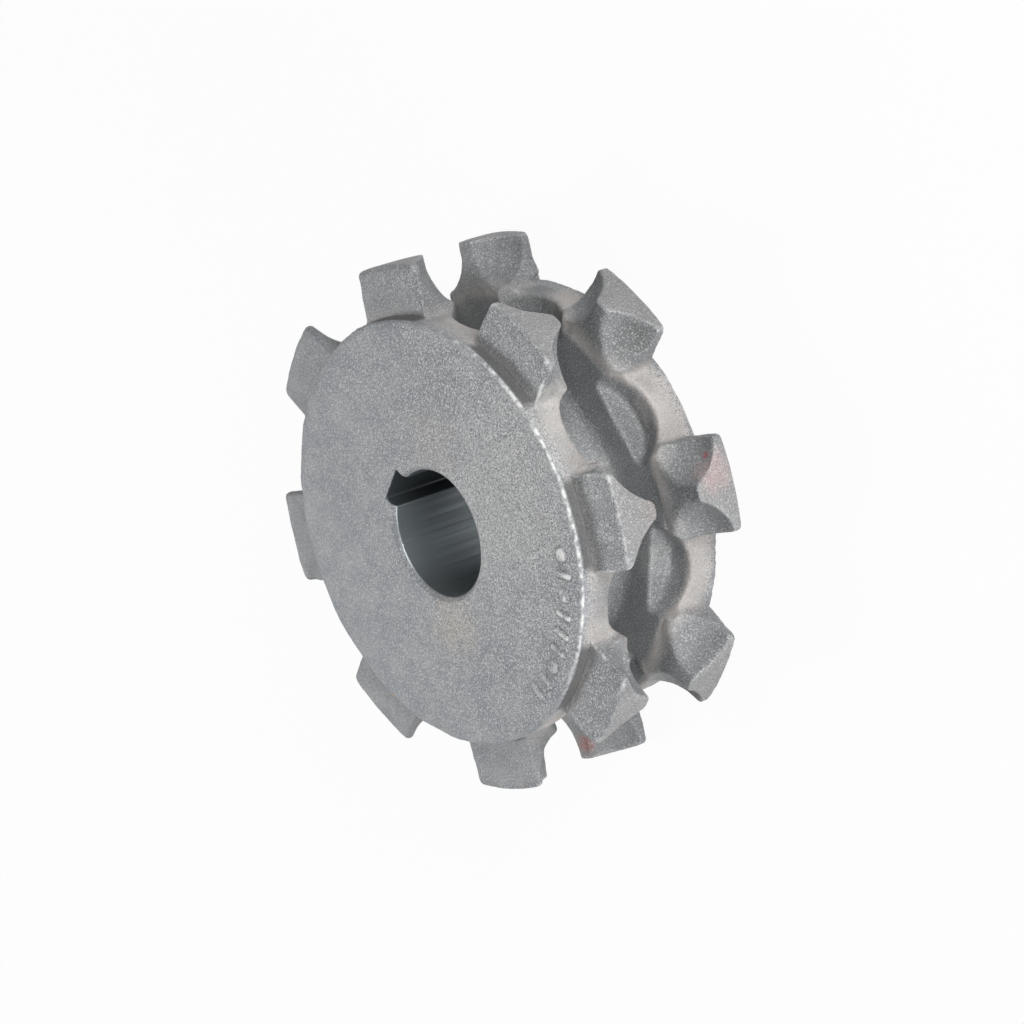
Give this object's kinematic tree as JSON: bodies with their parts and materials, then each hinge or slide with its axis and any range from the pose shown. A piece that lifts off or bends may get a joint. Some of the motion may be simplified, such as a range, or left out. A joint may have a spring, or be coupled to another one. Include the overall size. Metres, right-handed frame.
{
  "type": "sprocket",
  "caption": "Cast iron pocket wheel for round-link chain, with twin rows of teeth either side of a deep groove, round link pockets and a keyed bore.",
  "frame": {"origin": "centre of the bore in the rear face, which the wheel lies on", "axes": "+Z along the bore axis, out of the front face that carries the raised marks; +X through the middle of a tooth; the keyway points along +Y"},
  "size_m": [0.186, 0.186, 0.0618],
  "materials": {
    "cast_iron": "sand cast, blasted and left bare, with a machined bore"
  },
  "bodies": {
    "root": {"sprocket": "cast_iron"}
  },
  "joints": []
}
